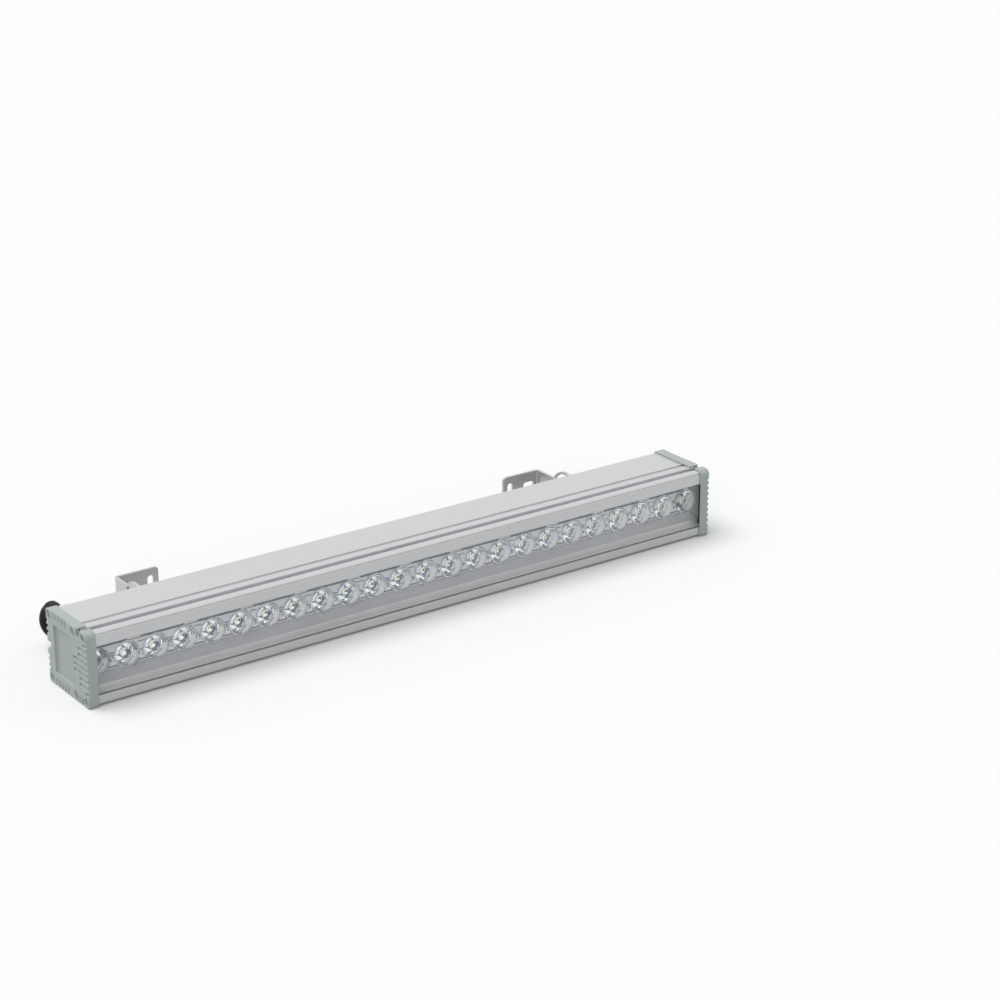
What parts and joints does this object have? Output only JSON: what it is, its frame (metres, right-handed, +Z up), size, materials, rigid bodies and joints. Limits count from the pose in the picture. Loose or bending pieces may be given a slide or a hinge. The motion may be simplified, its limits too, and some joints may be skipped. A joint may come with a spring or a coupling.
{
  "type": "outdoor wall washer light",
  "caption": "Long extruded housing with a row of lensed LEDs behind glass, flat end caps, and two swivel brackets that slide in a slot along its back.",
  "frame": {"origin": "on the surface that the end caps rest on, under the middle of the light with its brackets", "axes": "+X along the body away from the gland, +Y from the glass towards the wall, +Z up"},
  "size_m": [0.6, 0.1353, 0.061],
  "materials": {
    "anodised_aluminium": "satin, natural anodised",
    "cap_paint": "smooth satin powder coat, grey green",
    "bracket_steel": "satin",
    "stainless": "bright",
    "clear_glass": "clear, tempered",
    "seal_rubber": "matt",
    "gasket_rubber": "matt",
    "board_metal": "white solder mask with blue grey tracks",
    "led_yellow": "yellow phosphor",
    "lens_clear": "polished clear acrylic",
    "pad_grey": "matt",
    "driver_metal": "satin",
    "circuit_green": "solder mask",
    "winding_yellow": "tape over a ferrite core",
    "capacitor_sleeve": "sleeve with bare top",
    "terminal_ivory": "moulded",
    "core_brown": "satin insulation",
    "lead_blue": "satin insulation",
    "lead_red": "satin insulation",
    "gland_nylon": "moulded nylon",
    "cable_black": "satin jacket",
    "tie_nylon": "moulded nylon"
  },
  "bodies": {
    "root": {"housing_extrusion": "anodised_aluminium", "end_cap_left": "cap_paint", "end_cap_right": "cap_paint", "end_gasket_left": "gasket_rubber", "end_gasket_right": "gasket_rubber", "cap_screws_left": "stainless", "cap_screws_right": "stainless", "front_glass": "clear_glass", "glass_seal_lower": "seal_rubber", "glass_seal_upper": "seal_rubber", "led_board": "board_metal", "led_emitters": "led_yellow", "lenses": "lens_clear", "board_screws": "stainless", "thermal_pad": "pad_grey", "driver_case": "driver_metal", "driver_pads": "pad_grey", "driver_circuit_board": "circuit_green", "driver_inductor": "winding_yellow", "driver_capacitors": "capacitor_sleeve", "driver_cover": "driver_metal", "driver_cover_screws": "stainless", "terminal_block": "terminal_ivory", "terminal_screw": "stainless", "supply_cores": "core_brown", "driver_input_leads": "lead_blue", "led_leads": "lead_red", "gland_body": "gland_nylon", "gland_washer": "seal_rubber", "gland_locknut": "gland_nylon", "gland_bush": "seal_rubber", "gland_nut": "gland_nylon", "cord_entry": "cable_black", "supply_cord": "cable_black", "cord_hank": "cable_black", "cord_tie": "tie_nylon", "cord_end_cores": "core_brown"},
    "slide_left": {"slide_plate_left": "bracket_steel", "slot_nuts_left": "stainless", "slot_screws_left": "stainless", "slot_washers_left": "stainless", "pivot_bolt_left": "stainless", "pivot_washer_left": "stainless", "pivot_nut_left": "stainless"},
    "tilt_left": {"wall_bracket_left": "bracket_steel", "clamp_bolt_left": "stainless", "clamp_washer_left": "stainless", "clamp_nut_left": "stainless"},
    "slide_right": {"slide_plate_right": "bracket_steel", "slot_nuts_right": "stainless", "slot_screws_right": "stainless", "slot_washers_right": "stainless", "pivot_bolt_right": "stainless", "pivot_washer_right": "stainless", "pivot_nut_right": "stainless"},
    "tilt_right": {"wall_bracket_right": "bracket_steel", "clamp_bolt_right": "stainless", "clamp_washer_right": "stainless", "clamp_nut_right": "stainless"}
  },
  "joints": [
    {"name": "slide_left", "type": "slide", "parent": "root", "child": "slide_left", "axis": [1, 0, 0], "range_m": [-0.01, 0.075]},
    {"name": "tilt_left", "type": "hinge", "parent": "slide_left", "child": "tilt_left", "pos_m": [-0.21005, 0.0238, 0.0305], "axis": [1, 0, 0], "range_deg": [-110, 45]},
    {"name": "slide_right", "type": "slide", "parent": "root", "child": "slide_right", "axis": [1, 0, 0], "range_m": [-0.06, 0.075]},
    {"name": "tilt_right", "type": "hinge", "parent": "slide_right", "child": "tilt_right", "pos_m": [0.21005, 0.0238, 0.0305], "axis": [1, 0, 0], "range_deg": [-45, 110]}
  ]
}
